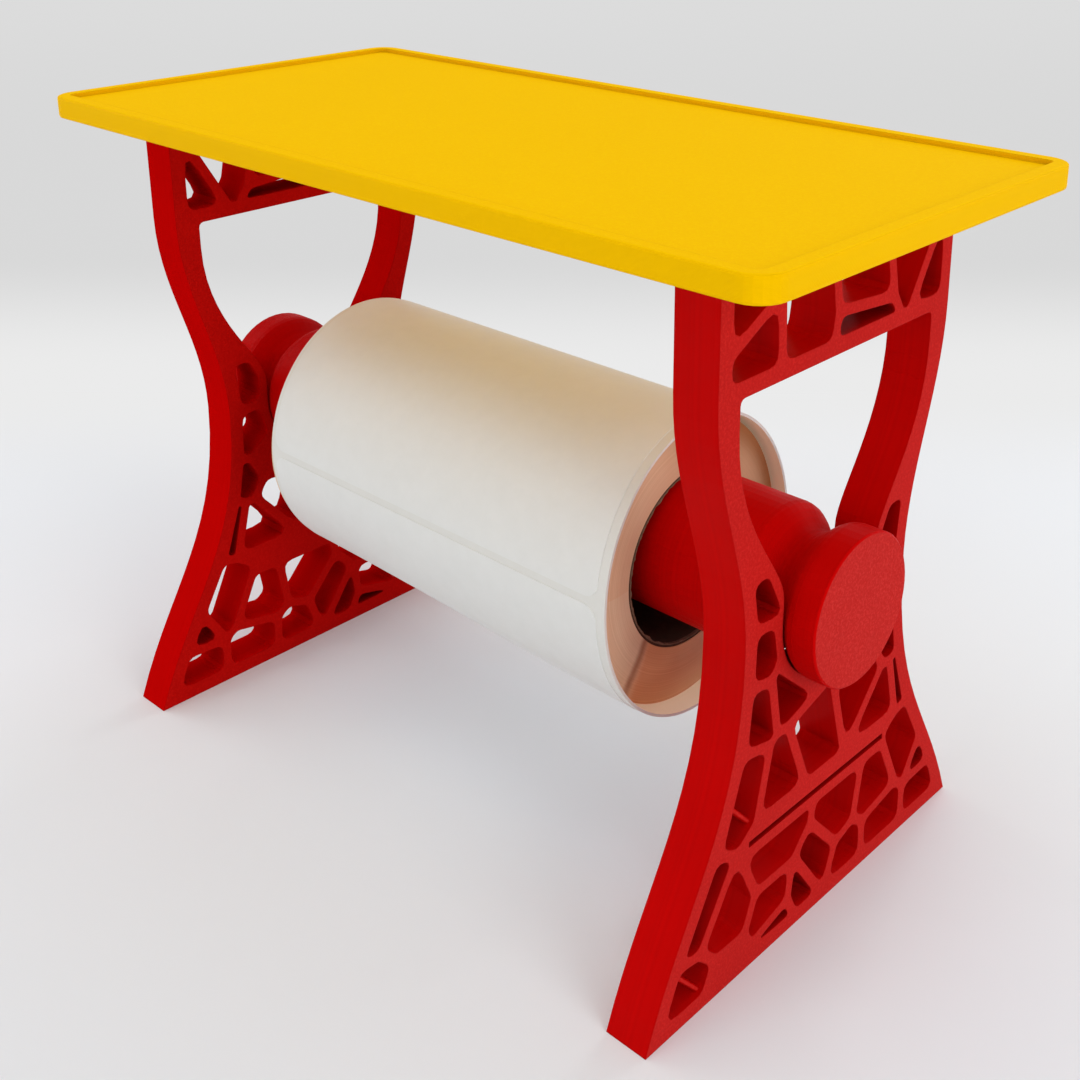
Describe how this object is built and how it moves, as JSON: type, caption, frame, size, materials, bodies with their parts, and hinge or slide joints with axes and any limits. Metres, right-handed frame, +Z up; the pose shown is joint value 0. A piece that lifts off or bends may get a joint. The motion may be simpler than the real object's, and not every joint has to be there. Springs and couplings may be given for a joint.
{
  "type": "printer and label roll stand",
  "caption": "Raised rimmed tray for a small desktop printer on lattice side frames, which carry a grooved spool holding a roll of labels below.",
  "frame": {"origin": "centre of the footprint, on the surface that the feet stand on", "axes": "+X along the tray's length and the spool's axis, -Y towards the side the labels are pulled from, +Z up"},
  "size_m": [0.203, 0.1044, 0.1503],
  "materials": {
    "yellow_print": "layered print, satin",
    "red_print_left": "layered print, satin",
    "red_print_right": "layered print, satin",
    "red_print_spool": "layered print, satin",
    "brown_card": "raw card",
    "white_paper": "smooth label face"
  },
  "bodies": {
    "stand": {"tray": "yellow_print", "side_frame_left": "red_print_left", "side_frame_right": "red_print_right"},
    "spool": {"roll_spool": "red_print_spool"},
    "label_roll": {"roll_core": "brown_card", "label_winding": "white_paper"}
  },
  "joints": [
    {"name": "spool_lift", "type": "slide", "parent": "stand", "child": "spool", "axis": [0, 0, 1], "range_m": [0, 0.034]},
    {"name": "roll_spin", "type": "hinge", "parent": "spool", "child": "label_roll", "pos_m": [0, 0, 0.06835], "axis": [1, 0, 0], "continuous": true}
  ]
}
